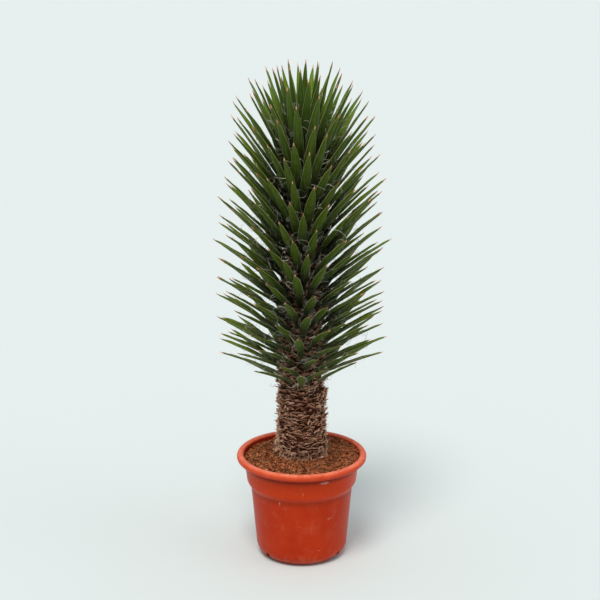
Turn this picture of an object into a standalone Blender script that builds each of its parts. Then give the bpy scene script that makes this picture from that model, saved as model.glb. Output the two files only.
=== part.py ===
"""Potted yucca: a scaly stem with a tall head of stiff pointed leaves, in a plastic container of soil.

Metres, +Z up. The origin is the centre of the container's underside, on the surface that it stands on.
The front of the plant, as a viewer sees it, faces -Y.
"""

import math
import random

import bmesh
import bpy
import numpy as np
from mathutils import Matrix, Vector, noise

# Container: injection-moulded, 300 mm across its rolled rim and 245 mm tall
TURN_STEPS = 40
MERGE = 0.00001
WALL = 0.0025
RIM_RADIUS = 0.150
RIM_ROLL_RADIUS = 0.0085
RIM_ROLL_HEIGHT = 0.2367
RIM_LIP_ANGLE = -70
RIM_ROLL_POINTS = 9
RIM_INSIDE = RIM_RADIUS - 2 * RIM_ROLL_RADIUS
COLLAR_TOP = (0.1302, 0.2100)
COLLAR_FOOT = (0.1266, 0.1800)
SHOULDER_FOOT = (0.1179, 0.1665)
WALL_TOP = (0.1170, 0.1600)
CORNER_CENTRE = (0.0760, 0.0294)
CORNER_RADIUS = 0.0294
CORNER_START_ANGLE = -5
CORNER_POINTS = 4
SHARP_ANGLE = 35
NOTCH_HALF_WIDTH = 0.0088
NOTCH_HEIGHT = 0.0215
NOTCH_SIDES = 16
NOTCH_START = 0.080
# Degrees from the front towards the right
NOTCH_TURNS = (-50, 55, 130, 235)
FLOOR_HOLE_RADIUS = 0.006
FLOOR_HOLE_SIDES = 12
FLOOR_HOLE_PITCH_RADIUS = 0.048
FLOOR_HOLE_DEPTH = 6 * WALL

# Potting soil: a filling that rises towards the stem and lies higher on the right than at the back left
FIT_GAP = 0.0003
SOIL_WALL_GAP = 0.0006
SOIL_AT_STEM = 0.2470
SOIL_AT_RIM = 0.2375
SOIL_TILT = 0.0045
SOIL_HIGH_SIDE = -10
SOIL_MOUND_POWER = 0.8
SOIL_CRUMB = 0.0022
SOIL_CRUMBS_PER_METRE = 62
SOIL_RINGS = 6

# Stem: a plain foot in the soil, then rows of old leaf bases
STEM_FOOT_RADIUS = 0.0575
STEM_FOOT_BOTTOM = 0.135
STEM_FOOT_TAPER = (0.8, 0.020)
STEM_TOP = 0.4072
SCALES_FIRST = 0.0030
SCALES_LAST = 0.0040
SCALE_ROWS = 16
SCALES_PER_ROW = 17
SCALE_REACH = 0.0068
SCALE_REACH_SPREAD = (0.40, 1.15)
SCALE_LIFT = 0.0042
SCALE_LIFT_SPREAD = (0.1, 1.2)
HOLLOW_REACH_SPREAD = (-0.15, 0.20)
HOLLOW_DROP_SPREAD = (0.2, 0.6)
# Height and radius of the stem under its scales
STEM_GIRTH = (
    (0.2465, 0.0560),
    (0.2698, 0.0530),
    (0.2976, 0.0505),
    (0.3381, 0.0495),
    (0.3733, 0.0500),
    (0.4072, 0.0475),
)

# Leafy head: leaves on the golden angle, from nearly level ones at the foot to upright ones at the top
GOLDEN_ANGLE = math.radians(137.508)
LEAF_COUNT = 276
LEAF_FIRST = 0.4133
LEAF_LAST = 0.9309
LEAF_CROWDING = 1.10
CORE_STEPS = 16
# Height and radius of the stem under the leaves
CORE_GIRTH = (
    (0.4075, 0.0460),
    (0.5298, 0.0425),
    (0.7009, 0.0370),
    (0.8315, 0.0290),
    (0.8918, 0.0205),
    (0.9269, 0.0120),
    (0.9439, 0.0050),
)
# Height on the stem, elevation in degrees, length and greatest width
LEAF_STATIONS = (
    (0.4133, 31, 0.115, 0.0205),
    (0.4249, 27, 0.165, 0.0195),
    (0.4592, 27, 0.174, 0.0190),
    (0.5298, 32, 0.181, 0.0198),
    (0.6103, 36, 0.195, 0.0208),
    (0.7009, 43, 0.205, 0.0208),
    (0.7813, 48, 0.212, 0.0208),
    (0.8516, 55, 0.226, 0.0213),
    (0.9018, 67, 0.226, 0.0204),
    (0.9309, 83, 0.211, 0.0163),
)
# Share of the length, share of the greatest width, and thickness at the midrib
BLADE_SECTIONS = ((0.0, 0.66, 0.0036), (0.52, 1.0, 0.0028), (0.84, 0.56, 0.0018))
BLADE_ROOT = 0.012
BLADE_CHANNEL = 0.13
BLADE_SETBACK = 0.8
BLADE_STEPS = 8
DROOP_AT_FOOT = 8
DROOP_AT_TOP = 2
TURN_SCATTER = 4
RISE_SCATTER = 3
LENGTH_SCATTER = 0.06
WIDTH_SCATTER = 0.1
ROLL_SCATTER = 9
# Where the scatter starts to shrink towards the growing tip, and how much of it is left there
CALM_FROM = (0.811, 1.0)
CALM_TO = (0.942, 0.45)
SEED = 11

# Base colours and roughness
TERRACOTTA = ((0.46, 0.075, 0.03), 0.5)
POTTING_SOIL = ((0.13, 0.05, 0.025), 0.95)
OLD_LEAF_BASES = ((0.15, 0.08, 0.05), 0.9)
LEAF_GREEN = ((0.045, 0.10, 0.015), 0.4)


def clear_scene():
    for obj in list(bpy.data.objects):
        bpy.data.objects.remove(obj)


def new_collection(name):
    collection = bpy.data.collections.new(name)
    bpy.context.scene.collection.children.link(collection)
    return collection


def material(name, colour, roughness):
    made = bpy.data.materials.new(name)
    made.use_nodes = True
    shader = made.node_tree.nodes["Principled BSDF"]
    shader.inputs["Base Color"].default_value = (*colour, 1)
    shader.inputs["Roughness"].default_value = roughness
    shader.inputs["Metallic"].default_value = 0
    return made


def add_object(name, mesh, collection, finish=None):
    obj = bpy.data.objects.new(name, mesh)
    collection.objects.link(obj)
    if finish:
        mesh.materials.append(finish)
    return obj


def mesh_from(form, name):
    """A named mesh with the bmesh's faces turned outwards."""
    bmesh.ops.recalc_face_normals(form, faces=form.faces)
    mesh = bpy.data.meshes.new(name)
    form.to_mesh(mesh)
    form.free()
    return mesh


def arc(centre, radius, start, end, count):
    """Points of an arc in the profile's plane, from start to end in degrees."""
    angles = np.radians(np.linspace(start, end, count))
    return [(centre[0] + radius * math.cos(a), centre[1] + radius * math.sin(a)) for a in angles]


def turned(profile, steps):
    """The profile's points of (radius, height) turned about the Z axis, closed where they meet it."""
    form = bmesh.new()
    points = [form.verts.new((radius, 0, height)) for radius, height in profile]
    for first, second in zip(points, points[1:]):
        form.edges.new((first, second))
    bmesh.ops.spin(
        form,
        geom=list(form.verts) + list(form.edges),
        cent=(0, 0, 0),
        axis=(0, 0, 1),
        angle=math.tau,
        steps=steps,
        use_duplicate=False,
    )
    bmesh.ops.remove_doubles(form, verts=form.verts, dist=MERGE)
    return form


def pot_profile():
    """The middle of the container's wall, from the rim's free lip over the roll to the floor's centre."""
    half = WALL / 2
    roll_centre = (RIM_RADIUS - RIM_ROLL_RADIUS, RIM_ROLL_HEIGHT)
    roll = arc(roll_centre, RIM_ROLL_RADIUS - half, RIM_LIP_ANGLE, 180, RIM_ROLL_POINTS)
    sides = [(radius - half, height) for radius, height in
             (COLLAR_TOP, COLLAR_FOOT, SHOULDER_FOOT, WALL_TOP)]
    corner = arc(CORNER_CENTRE, CORNER_RADIUS - half, CORNER_START_ANGLE, -90, CORNER_POINTS)
    return roll + sides + corner + [(0.0, half)]


def cutter(name, collection, radius, length, matrix, sides):
    bpy.ops.mesh.primitive_cylinder_add(vertices=sides, radius=radius, depth=length)
    obj = bpy.context.active_object
    obj.name = name
    obj.matrix_world = matrix
    for holder in list(obj.users_collection):
        holder.objects.unlink(obj)
    collection.objects.link(obj)
    obj.hide_render = True
    obj.display_type = "WIRE"


def drain_cutters(collection):
    """Arched notches through the wall's foot and round holes through the floor between them."""
    length = RIM_RADIUS - NOTCH_START
    for i, turn in enumerate(NOTCH_TURNS):
        outwards = Matrix.Rotation(math.radians(turn - 90), 4, "Z")
        arched = Matrix.Scale(NOTCH_HEIGHT / NOTCH_HALF_WIDTH, 4, (0, 0, 1)) @ Matrix.Rotation(math.pi / 2, 4, "Y")
        place = outwards @ Matrix.Translation((NOTCH_START + length / 2, 0, 0)) @ arched
        cutter(f"notch_cutter_{i}", collection, NOTCH_HALF_WIDTH, length, place, NOTCH_SIDES)
        between = Matrix.Rotation(math.radians(turn - 45), 4, "Z")
        place = Matrix.Translation((FLOOR_HOLE_PITCH_RADIUS, 0, 0))
        cutter(f"hole_cutter_{i}", collection, FLOOR_HOLE_RADIUS, FLOOR_HOLE_DEPTH, between @ place,
               FLOOR_HOLE_SIDES)


def make_pot(collection, cutters, finish):
    form = turned(pot_profile(), TURN_STEPS)
    pot = add_object("pot", mesh_from(form, "pot"), collection, finish)
    shell = pot.modifiers.new("wall", "SOLIDIFY")
    shell.thickness = WALL
    shell.offset = 0
    shell.use_even_offset = True
    drain_cutters(cutters)
    drain = pot.modifiers.new("drainage", "BOOLEAN")
    drain.operand_type = "COLLECTION"
    drain.collection = cutters
    drain.operation = "DIFFERENCE"
    drain.solver = "EXACT"
    pot.data.shade_smooth()
    pot.data.set_sharp_from_angle(angle=math.radians(SHARP_ANGLE))
    return pot


def wall_inside(height):
    """The inner radius of the container's wall between the collar's top and the roll."""
    return float(np.interp(height, (COLLAR_TOP[1], RIM_ROLL_HEIGHT), (COLLAR_TOP[0] - WALL, RIM_INSIDE)))


def soil_height(x, y):
    """The soil's surface: a mound round the stem, a tilt across the container, and crumbs."""
    outward = (math.hypot(x, y) - STEM_FOOT_RADIUS) / (RIM_INSIDE - STEM_FOOT_RADIUS)
    outward = min(1.0, max(0.0, outward))
    mound = SOIL_AT_STEM + (SOIL_AT_RIM - SOIL_AT_STEM) * outward**SOIL_MOUND_POWER
    side = math.radians(SOIL_HIGH_SIDE)
    tilt = SOIL_TILT * outward * (x * math.cos(side) + y * math.sin(side)) / RIM_INSIDE
    crumb = SOIL_CRUMB * outward * noise.noise(Vector((x, y, 0)) * SOIL_CRUMBS_PER_METRE)
    return mound + tilt + crumb


def soil_profile():
    """The filling's outline: the plain hole for the stem's foot, then the top, the wall and the floor."""
    hole = STEM_FOOT_RADIUS + SOIL_WALL_GAP
    bottom = STEM_FOOT_BOTTOM - FIT_GAP
    edge = wall_inside(SOIL_AT_RIM) - SOIL_WALL_GAP
    top = [(radius, SOIL_AT_RIM) for radius in np.linspace(hole, edge, SOIL_RINGS)]
    wall = [(radius - WALL - SOIL_WALL_GAP, height) for radius, height in
            (COLLAR_TOP, COLLAR_FOOT, SHOULDER_FOOT, WALL_TOP)]
    corner = arc(CORNER_CENTRE, CORNER_RADIUS - WALL - SOIL_WALL_GAP, CORNER_START_ANGLE, -90, CORNER_POINTS)
    return [(0.0, bottom), (hole, bottom)] + top + wall + corner + [(0.0, corner[-1][1])]


def make_soil(collection, finish):
    """The top ring follows the wall's taper at whatever height the surface meets it."""
    form = turned(soil_profile(), TURN_STEPS)
    edge = wall_inside(SOIL_AT_RIM) - SOIL_WALL_GAP
    for vertex in form.verts:
        if abs(vertex.co.z - SOIL_AT_RIM) > MERGE:
            continue
        radius = vertex.co.xy.length
        vertex.co.z = soil_height(vertex.co.x, vertex.co.y)
        if abs(radius - edge) < MERGE:
            vertex.co.xy *= (wall_inside(vertex.co.z) - SOIL_WALL_GAP) / radius
    return add_object("soil", mesh_from(form, "soil"), collection, finish)


def girth(stations, height):
    heights, radii = zip(*stations)
    return float(np.interp(height, heights, radii))


def stem_profile():
    """The foot in the soil, two rings for each row of scales, and a flat top under the leafy head."""
    narrow, rise = STEM_FOOT_TAPER
    base = SOIL_AT_STEM + SCALES_FIRST
    foot = [(0.0, STEM_FOOT_BOTTOM), (STEM_FOOT_RADIUS * narrow, STEM_FOOT_BOTTOM),
            (STEM_FOOT_RADIUS, STEM_FOOT_BOTTOM + rise), (STEM_FOOT_RADIUS, base - SCALES_FIRST / 2)]
    pitch = (STEM_TOP - SCALES_LAST - base) / SCALE_ROWS
    rows = []
    for row in range(SCALE_ROWS):
        height = base + row * pitch
        rows.append((girth(STEM_GIRTH, height), height))
        rows.append((girth(STEM_GIRTH, height + pitch / 2), height + pitch / 2))
    return foot + rows + [(girth(STEM_GIRTH, STEM_TOP), STEM_TOP), (0.0, STEM_TOP)], base, pitch


def make_stem(collection, finish):
    """Every other vertex of each row's upper ring is drawn out to a scale's tip, staggered by rows."""
    draw = random.Random(SEED)
    profile, base, pitch = stem_profile()
    steps = 2 * SCALES_PER_ROW
    form = turned(profile, steps)
    lift = {}
    for vertex in form.verts:
        row = (vertex.co.z - base) / pitch
        upper_ring = 0 < row < SCALE_ROWS and abs(row % 1 - 0.5) < 0.01
        if upper_ring:
            column = round(math.atan2(vertex.co.y, vertex.co.x) / math.tau * steps) % steps
            lift[vertex] = (int(row), column)
    for vertex, (row, column) in sorted(lift.items(), key=lambda item: item[1]):
        outward = Vector((vertex.co.x, vertex.co.y, 0)).normalized()
        if (column + row) % 2:
            vertex.co += outward * SCALE_REACH * draw.uniform(*SCALE_REACH_SPREAD)
            vertex.co.z += SCALE_LIFT * draw.uniform(*SCALE_LIFT_SPREAD)
        else:
            vertex.co += outward * SCALE_REACH * draw.uniform(*HOLLOW_REACH_SPREAD)
            vertex.co.z -= SCALE_LIFT * draw.uniform(*HOLLOW_DROP_SPREAD)
    return add_object("stem", mesh_from(form, "stem"), collection, finish)


def loft(sections, tip):
    """A closed form through rings of equal length that ends in a point."""
    form = bmesh.new()
    rings = [[form.verts.new(point) for point in section] for section in sections]
    for lower, upper in zip(rings, rings[1:]):
        for i in range(len(lower)):
            j = (i + 1) % len(lower)
            form.faces.new((lower[i], lower[j], upper[j], upper[i]))
    end = form.verts.new(tip)
    last = rings[-1]
    for i in range(len(last)):
        form.faces.new((last[i], last[(i + 1) % len(last)], end))
    form.faces.new(rings[0][::-1])
    bmesh.ops.triangulate(form, faces=form.faces)
    return form


def scattered(draw, share):
    return 1 + draw.uniform(-share, share)


def leaf_plan():
    """Every leaf from the foot of the head up: height, turn, elevation, droop, length, width and roll."""
    draw = random.Random(SEED)
    heights, elevations, lengths, widths = zip(*LEAF_STATIONS)
    plan = []
    for i in range(LEAF_COUNT):
        share = i / (LEAF_COUNT - 1)
        height = LEAF_FIRST + (LEAF_LAST - LEAF_FIRST) * (1 - (1 - share)**LEAF_CROWDING)
        calm = float(np.interp(height, *zip(CALM_FROM, CALM_TO)))
        plan.append({
            "height": height,
            "turn": i * GOLDEN_ANGLE + math.radians(draw.uniform(-TURN_SCATTER, TURN_SCATTER)) * calm,
            "elevation": math.radians(np.interp(height, heights, elevations)
                                      + draw.uniform(-RISE_SCATTER, RISE_SCATTER) * calm),
            "droop": math.radians(np.interp(share, (0, 1), (DROOP_AT_FOOT, DROOP_AT_TOP))),
            "length": float(np.interp(height, heights, lengths)) * scattered(draw, LENGTH_SCATTER),
            "width": float(np.interp(height, heights, widths)) * scattered(draw, WIDTH_SCATTER),
            "roll": math.radians(draw.uniform(-ROLL_SCATTER, ROLL_SCATTER)) * calm,
        })
    return plan


def blade_point(leaf, share):
    """Where the midrib is, in the leaf's own upright plane (outwards, upwards), and its slope there."""
    start = leaf["elevation"] + leaf["droop"] / 2
    outwards = 0.0
    upwards = 0.0
    step = leaf["length"] * share / BLADE_STEPS
    for k in range(BLADE_STEPS):
        slope = start - leaf["droop"] * share * (k + 0.5) / BLADE_STEPS
        outwards += math.cos(slope) * step
        upwards += math.sin(slope) * step
    return outwards, upwards, start - leaf["droop"] * share


def make_leaf(leaf, collection, index):
    """A channelled blade with a keel below, its root sunk in the core and its end drawn to a point."""
    sections = []
    for share, spread, thickness in BLADE_SECTIONS:
        outwards, upwards, slope = blade_point(leaf, share)
        if share == 0:
            outwards -= BLADE_ROOT * math.cos(slope)
            upwards -= min(BLADE_ROOT * math.sin(slope), leaf["height"] - LEAF_FIRST)
        along = Vector((math.cos(slope), 0, math.sin(slope)))
        face = Vector((-math.sin(slope), 0, math.cos(slope)))
        face.rotate(Matrix.Rotation(leaf["roll"] * share, 3, along))
        across = face.cross(along)
        middle = Vector((outwards, 0, upwards))
        half = leaf["width"] * spread / 2
        channel = leaf["width"] * spread * BLADE_CHANNEL
        sections.append([
            middle + across * half + face * channel,
            middle,
            middle - across * half + face * channel,
            middle - face * thickness,
        ])
    outwards, upwards, _ = blade_point(leaf, 1.0)
    form = loft(sections, Vector((outwards, 0, upwards)))
    seat = girth(CORE_GIRTH, leaf["height"]) * BLADE_SETBACK
    place = (Matrix.Rotation(leaf["turn"] - math.pi / 2, 4, "Z")
             @ Matrix.Translation((seat, 0, leaf["height"])))
    bmesh.ops.transform(form, matrix=place, verts=form.verts)
    return add_object(f"leaf_{index:03d}", mesh_from(form, f"leaf_{index:03d}"), collection)


def make_head(collection, blades, finish):
    """A slim core on the stem's top with every leaf fused to it."""
    profile = [(0.0, CORE_GIRTH[0][0])] + [(radius, height) for height, radius in CORE_GIRTH]
    profile.append((0.0, CORE_GIRTH[-1][0]))
    core = add_object("leaf_head", mesh_from(turned(profile, CORE_STEPS), "leaf_head"), collection, finish)
    for index, leaf in enumerate(leaf_plan()):
        make_leaf(leaf, blades, index)
    join = core.modifiers.new("leaves", "BOOLEAN")
    join.operand_type = "COLLECTION"
    join.collection = blades
    join.operation = "UNION"
    join.solver = "MANIFOLD"
    bpy.context.view_layer.update()
    graph = bpy.context.evaluated_depsgraph_get()
    joined = bpy.data.meshes.new_from_object(core.evaluated_get(graph))
    core.modifiers.clear()
    core.data = joined
    for blade in list(blades.objects):
        bpy.data.objects.remove(blade)
    bpy.data.collections.remove(blades)
    return core


def main():
    clear_scene()
    plant = new_collection("potted_yucca")
    cutters = new_collection("cutters")
    blades = new_collection("blades")
    make_pot(plant, cutters, material("terracotta_plastic", *TERRACOTTA))
    make_soil(plant, material("potting_soil", *POTTING_SOIL))
    make_stem(plant, material("old_leaf_bases", *OLD_LEAF_BASES))
    make_head(plant, blades, material("leaf_green", *LEAF_GREEN))


main()
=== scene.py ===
"""The potted yucca's looks: fine leaves and threads, torn leaf bases, crumbly soil, moulded plastic."""

import math
import random

import bmesh
import bpy
import numpy as np
from mathutils import Matrix, Vector, noise


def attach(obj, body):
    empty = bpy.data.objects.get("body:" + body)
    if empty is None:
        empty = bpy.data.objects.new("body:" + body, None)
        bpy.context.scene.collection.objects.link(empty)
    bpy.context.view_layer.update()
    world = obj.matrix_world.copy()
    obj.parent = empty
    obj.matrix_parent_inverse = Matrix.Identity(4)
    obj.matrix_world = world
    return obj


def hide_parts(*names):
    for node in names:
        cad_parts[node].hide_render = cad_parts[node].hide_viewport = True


# Camera: fitted to the photograph's 600 x 600 frame
CAMERA_PLACE = (-0.0038, -2.9915, 1.4261)
CAMERA_PITCH = 15.2865
CAMERA_FOCAL = 1381 / 600

# Stage: the dome's strength at the horizon and overhead, and the sine of the angle where it is full
DOME_AT_HORIZON = 0.10
DOME_OVERHEAD = 0.76
DOME_FULL_FROM = 0.9
FLOOR_WIDTH = 160

# Container, as in the solids
WALL = 0.0025
RIM_RADIUS = 0.150
RIM_ROLL_RADIUS = 0.0085
RIM_ROLL_HEIGHT = 0.2367
RIM_LIP_ANGLE = -70
RIM_INSIDE = RIM_RADIUS - 2 * RIM_ROLL_RADIUS
COLLAR_TOP = (0.1302, 0.2100)
COLLAR_FOOT = (0.1266, 0.1800)
SHOULDER_FOOT = (0.1179, 0.1665)
WALL_TOP = (0.1170, 0.1600)
CORNER_CENTRE = (0.0760, 0.0294)
CORNER_RADIUS = 0.0294
CORNER_START_ANGLE = -5
STEP_ROUNDING = 0.0034
POT_STEPS = 180
BAR_SIDES = 48
NOTCH_HALF_WIDTH = 0.0088
NOTCH_HEIGHT = 0.0215
NOTCH_START = 0.080
# Degrees from the front towards the right
NOTCH_TURNS = (-50, 55, 130, 235)
FLOOR_HOLE_RADIUS = 0.006
FLOOR_HOLE_PITCH_RADIUS = 0.048
# Pale rubbed places: centre, reach along each axis and strength
SCUFFS = (
    ((0.051, -0.120, 0.2170), (0.016, 0.012, 0.0045), 0.85),
    ((0.003, -0.1275, 0.1920), (0.0009, 0.004, 0.0055), 1.0),
    ((-0.050, -0.106, 0.1600), (0.0022, 0.004, 0.0060), 0.8),
    ((-0.036, -0.111, 0.1480), (0.0012, 0.004, 0.0030), 0.7),
    ((0.040, -0.098, 0.0420), (0.0040, 0.006, 0.0016), 0.7),
)
# Heights between which the plastic's fading, dirt, painted light and painted shade come in, and those
# between which they go out
# The rim: faded plastic, made paler on its top as painted light
FADED_AND_LIT_RIM = (0.2270, 0.2450)
# The roll's crest: a painted highlight
CREST_PAINTED_HIGHLIGHT = (0.2400, 0.2452)
# Inside the rim: painted shade
SHADED_INSIDE = (0.205, 0.220)
# The collar: painted light that lifts the shade the rim casts on it
COLLAR_PAINTED_LIGHT = ((0.166, 0.180), (0.222, 0.212))
# Under the rim and under the step: painted shade
SHADE_BELOW_RIM = ((0.207, 0.219), (0.229, 0.223))
SHADE_BELOW_STEP = ((0.150, 0.163), (0.171, 0.166))
DUSTY_FOOT = (0.040, 0.006)
SPECKLED_FOOT = (0.060, 0.010)

# Potting soil, as in the solids
SOIL_WALL_GAP = 0.0006
SOIL_AT_STEM = 0.2470
SOIL_AT_RIM = 0.2375
SOIL_TILT = 0.0045
SOIL_HIGH_SIDE = -10
SOIL_MOUND_POWER = 0.8
SOIL_CRUMB = 0.0022
SOIL_CRUMBS_PER_METRE = 62
# Finer relief than in the solids: features in a metre, and their height
SOIL_CLUMPS = (88, 0.0042)
SOIL_LUMPS = (240, 0.0036)
SOIL_GRAINS = (560, 0.0014)
SOIL_STEPS = 400
SOIL_RINGS = 62
SOIL_UNDER_STEM = 0.009
# Heights between which the filling turns dark behind the notches: painted shade
SOIL_PAINTED_SHADE = (0.060, 0.035)
CRUMB_SEED = 21
CRUMB_COUNT = 6200
CRUMB_SIZES = (0.0007, 0.0019)
BIG_CRUMB_SHARE = 0.07
BIG_CRUMB_SCALE = 1.7

# Stem: foot and top as in the solids
STEM_FOOT_RADIUS = 0.0575
STEM_FOOT_BOTTOM = 0.135
STEM_TOP = 0.4072
# Inner and outer radius of the rings that loose crumbs and fibres are spread over
CRUMB_RING = (STEM_FOOT_RADIUS - 0.004, RIM_INSIDE - 0.005)
COIR_RING = (STEM_FOOT_RADIUS - 0.002, RIM_INSIDE - 0.009)
# Height and radius of the stem under its scales
STEM_GIRTH = (
    (0.2465, 0.0560),
    (0.2698, 0.0530),
    (0.2976, 0.0505),
    (0.3381, 0.0495),
    (0.3733, 0.0500),
    (0.4072, 0.0475),
)
# Rows of torn leaf bases, with ranges of their width, height, reach and thickness
SCALE_SEED = 31
SCALE_PITCH = 0.0062
SCALES_AROUND = 17
SCALE_SHIFT = 0.0045
SCALE_SIZES = ((0.010, 0.026), (0.004, 0.011), (0.0035, 0.0085), (0.0006, 0.0020))
SCALE_REACH_GAIN = 0.0022
# How ragged a plate's edge is, how wavy its face and how slanted its top
SCALE_JAG = 0.22
SCALE_FRILL = 0.3
SCALE_SLANT = 0.38
# Narrow, far-reaching bases: their share of all, and how they differ
STUB_SHARE = 0.20
STUB_NARROWING = 0.45
STUB_EXTRA_REACH = 0.0042
STUB_EXTRA_HEIGHT = 0.002
SCALES_START = SOIL_AT_STEM - 0.008
SCALES_END = STEM_TOP - 0.002
# Wood between the bases: its foot, its inset, features in a metre, and their height over the radius
WOOD_FOOT = SOIL_AT_STEM - 0.045
WOOD_INSET = 0.0012
WOOD_GRAIN = (160, 160, 260)
WOOD_RELIEF = 0.03
# Heights between which the bark turns red-brown
BARK_REDDENS = (0.290, 0.395)

# Leafy head, as in the solids
GOLDEN_ANGLE = math.radians(137.508)
LEAF_COUNT = 276
LEAF_FIRST = 0.4133
LEAF_LAST = 0.9309
LEAF_CROWDING = 1.10
# Height and radius of the stem under the leaves
CORE_GIRTH = (
    (0.4075, 0.0460),
    (0.5298, 0.0425),
    (0.7009, 0.0370),
    (0.8315, 0.0290),
    (0.8918, 0.0205),
    (0.9269, 0.0120),
    (0.9439, 0.0050),
)
CORE_FOOT = STEM_TOP - 0.004
CORE_TOP = 0.925
CORE_INSET = 0.0015
# Height on the stem, elevation in degrees, length and greatest width
LEAF_STATIONS = (
    (0.4133, 31, 0.115, 0.0205),
    (0.4249, 27, 0.165, 0.0195),
    (0.4592, 27, 0.174, 0.0190),
    (0.5298, 32, 0.181, 0.0198),
    (0.6103, 36, 0.195, 0.0208),
    (0.7009, 43, 0.205, 0.0208),
    (0.7813, 48, 0.212, 0.0208),
    (0.8516, 55, 0.226, 0.0213),
    (0.9018, 67, 0.226, 0.0204),
    (0.9309, 83, 0.211, 0.0163),
)
BLADE_SETBACK = 0.8
DROOP_AT_FOOT = 8
DROOP_AT_TOP = 2
TURN_SCATTER = 4
RISE_SCATTER = 3
LENGTH_SCATTER = 0.06
WIDTH_SCATTER = 0.1
ROLL_SCATTER = 9
# Where the scatter starts to shrink towards the growing tip, and how much of it is left there
CALM_FROM = (0.811, 1.0)
CALM_TO = (0.942, 0.45)
SEED = 11

# Fine leaf: share of the length, share of the greatest width, midrib thickness, channel depth over width
BLADE_STATIONS = (
    (-0.050, 1.05, 0.0060, 0.20),
    (0.000, 1.02, 0.0056, 0.20),
    (0.035, 0.84, 0.0050, 0.19),
    (0.075, 0.68, 0.0043, 0.17),
    (0.130, 0.61, 0.0038, 0.16),
    (0.200, 0.66, 0.0035, 0.15),
    (0.290, 0.78, 0.0033, 0.14),
    (0.390, 0.92, 0.0031, 0.135),
    (0.490, 0.99, 0.0029, 0.13),
    (0.580, 0.98, 0.0027, 0.13),
    (0.670, 0.89, 0.0025, 0.13),
    (0.750, 0.75, 0.0023, 0.135),
    (0.820, 0.59, 0.0021, 0.14),
    (0.880, 0.42, 0.0019, 0.15),
    (0.925, 0.27, 0.0018, 0.14),
    (0.952, 0.16, 0.0016, 0.10),
    (0.972, 0.10, 0.0012, 0.04),
    (0.988, 0.05, 0.0008, 0.0),
)
BLADE_SEED = 41
BLADE_ACROSS = 7
BLADE_EDGE = 0.00045
BLADE_SWAY = 0.025
BLADE_WAVE = 0.0006
BLADE_WAVES = 23
# Heights between which the leaves turn paler as painted light on the top of the head, and those between
# which their feet sink into painted shade
LEAVES_PAINTED_LIGHT = (0.92, 1.11)
FEET_DARKEN = (0.44, 0.62)

# Papery wings about the leaves' bases: ranges of width over the leaf's, height, reach and thickness
SHEATH_SEED = 51
SHEATHS_END = 0.87
SHEATH_SIZES = ((0.9, 1.7), (0.009, 0.016), (0.003, 0.007), (0.0012, 0.0026))
LOW_EXTRA_REACHES = (0.001, 0.008)
# Heights between which the low wings' extra reach goes, and those between which their edges turn pale
SHEATHS_SHRINK = (0.47, 0.60)
SHEATHS_PALE = (0.66, 0.48)

# Hair-like pieces: seed, number, and ranges of length, radius of curl and radius of the strand
COIR_FIBRES = (22, 1500, (0.004, 0.015), (0.006, 0.030), (0.00015, 0.00042))
BARK_FIBRES = (32, 1150, (0.006, 0.018), (0.006, 0.030), (0.00022, 0.00060))
ROOTLETS = (33, 200, (0.010, 0.034), (0.008, 0.030), (0.00030, 0.00090))
CROWN_CURLS = (52, 800, (0.010, 0.026), (0.0025, 0.0090), (0.00022, 0.00058))
CURLS_END = 0.66
# Threads along the leaves' margins: number on each leaf, then the same ranges
LEAF_THREADS = ((8, 12), (0.018, 0.062), (0.0045, 0.0170), (0.00022, 0.00042))
# Thickness along a strand, as shares of its greatest
COIR_TAPER = (0.6, 1, 1, 1, 0.8, 0.4)
STRAND_TAPER = (0.8, 1, 1, 1, 0.9, 0.8, 0.6, 0.35)

UP = np.array([0.0, 0.0, 1.0])
# The Mix node's colour sockets by number, because others share their names
MIX_FIRST = 6
MIX_SECOND = 7
MIX_RESULT = 2


class Heap:
    """Closed forms gathered into one mesh, with named numbers at their vertices for the material."""

    def __init__(self):
        self.points = []
        self.faces = []
        self.marks = {}
        self.count = 0

    def add(self, points, faces, **marks):
        """One closed form. A mark is a number for all its points, or one for each of them."""
        points = np.asarray(points, float).reshape(-1, 3)
        self.points.append(points)
        for face in faces:
            self.faces.append(tuple(int(i) + self.count for i in face))
        for name, values in marks.items():
            self.marks.setdefault(name, []).append(np.broadcast_to(values, len(points)))
        self.count += len(points)

    def make(self, name, finish):
        """The gathered forms as one object."""
        mesh = bpy.data.meshes.new(name)
        mesh.from_pydata(np.concatenate(self.points).tolist(), [], self.faces)
        for mark, values in self.marks.items():
            put_mark(mesh, mark, np.concatenate(values).astype(np.float32))
        form = bmesh.new()
        form.from_mesh(mesh)
        bmesh.ops.recalc_face_normals(form, faces=form.faces)
        form.to_mesh(mesh)
        form.free()
        mesh.shade_smooth()
        mesh.set_sharp_from_angle(angle=math.radians(50))
        return shown(name, mesh, finish)


def put_mark(mesh, name, values):
    """A number at each of the mesh's points, for its material."""
    layer = mesh.attributes.new(name, "FLOAT", "POINT")
    layer.data.foreach_set("value", values)


def shown(name, mesh, finish):
    """An object in the scene that rides on the plant's one body."""
    mesh.materials.append(finish)
    obj = bpy.data.objects.new(name, mesh)
    bpy.context.scene.collection.objects.link(obj)
    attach(obj, "root")
    return obj


def unit(vectors):
    """The vectors at length 1."""
    vectors = np.asarray(vectors, float)
    return vectors / np.maximum(np.linalg.norm(vectors, axis=-1, keepdims=True), 1e-12)


def spoke(turn):
    """The level direction at this angle about the plant's axis."""
    return np.array([math.cos(turn), math.sin(turn), 0.0])


def ring_faces(rings, points):
    """Quads between rings of equal length, with a flat cap at each end."""
    faces = []
    for i in range(rings - 1):
        for j in range(points):
            k = (j + 1) % points
            faces.append((i * points + j, i * points + k, (i + 1) * points + k, (i + 1) * points + j))
    faces.append(tuple(range(points))[::-1])
    faces.append(tuple((rings - 1) * points + j for j in range(points)))
    return faces


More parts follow.
